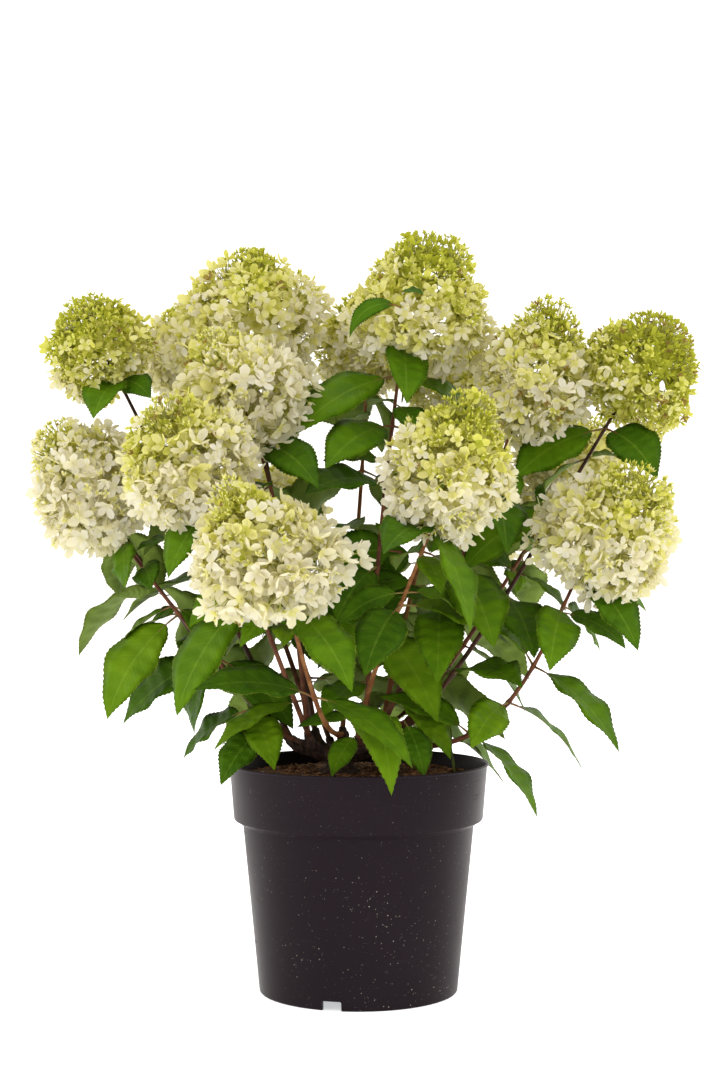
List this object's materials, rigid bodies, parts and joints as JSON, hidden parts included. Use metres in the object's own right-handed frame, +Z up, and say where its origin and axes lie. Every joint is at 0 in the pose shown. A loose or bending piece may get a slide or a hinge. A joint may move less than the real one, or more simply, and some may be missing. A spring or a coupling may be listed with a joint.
{
  "type": "potted hydrangea shrub",
  "caption": "Panicle hydrangea shrub with arching canes, pointed leaves and large cream and lime flower heads, growing in a tapered round nursery pot.",
  "frame": {"origin": "centre of the pot's flat underside, on its foot ring", "axes": "+Z up along the pot's axis; -Y towards the side with the lowest flower heads, taken as the front; +X to the right as seen from the front"},
  "size_m": [0.6256, 0.4895, 0.7033],
  "materials": {
    "pot_plastic": "satin",
    "potting_mix": "rough",
    "old_wood": "matte",
    "cane_bark": "matte",
    "flowering_mass": "matte",
    "leafy_shoot": "satin"
  },
  "bodies": {
    "root": {"bloom_back_centre_left": "flowering_mass", "bloom_back_centre_right": "flowering_mass", "bloom_back_centre_top": "flowering_mass", "bloom_back_left": "flowering_mass", "bloom_back_left_top": "flowering_mass", "bloom_back_right": "flowering_mass", "bloom_back_right_top": "flowering_mass", "bloom_far_left": "flowering_mass", "bloom_far_left_top": "flowering_mass", "bloom_far_right": "flowering_mass", "bloom_far_right_top": "flowering_mass", "bloom_front_centre": "flowering_mass", "bloom_front_left": "flowering_mass", "bloom_front_low": "flowering_mass", "bloom_middle_left": "flowering_mass", "bloom_top_centre": "flowering_mass", "bloom_upper_left": "flowering_mass", "bloom_upper_right": "flowering_mass", "cane_back_centre_left": "cane_bark", "cane_back_centre_right": "cane_bark", "cane_back_centre_top": "cane_bark", "cane_back_left": "cane_bark", "cane_back_left_top": "cane_bark", "cane_back_right": "cane_bark", "cane_back_right_top": "cane_bark", "cane_far_left": "cane_bark", "cane_far_left_top": "cane_bark", "cane_far_right": "cane_bark", "cane_far_right_top": "cane_bark", "cane_front_centre": "cane_bark", "cane_front_left": "cane_bark", "cane_front_low": "cane_bark", "cane_middle_left": "cane_bark", "cane_top_centre": "cane_bark", "cane_upper_left": "cane_bark", "cane_upper_right": "cane_bark", "crown": "old_wood", "pot": "pot_plastic", "potting_soil": "potting_mix", "shoot_back_right": "leafy_shoot", "shoot_front": "leafy_shoot", "shoot_front_right": "leafy_shoot", "shoot_left": "leafy_shoot"}
  },
  "joints": []
}
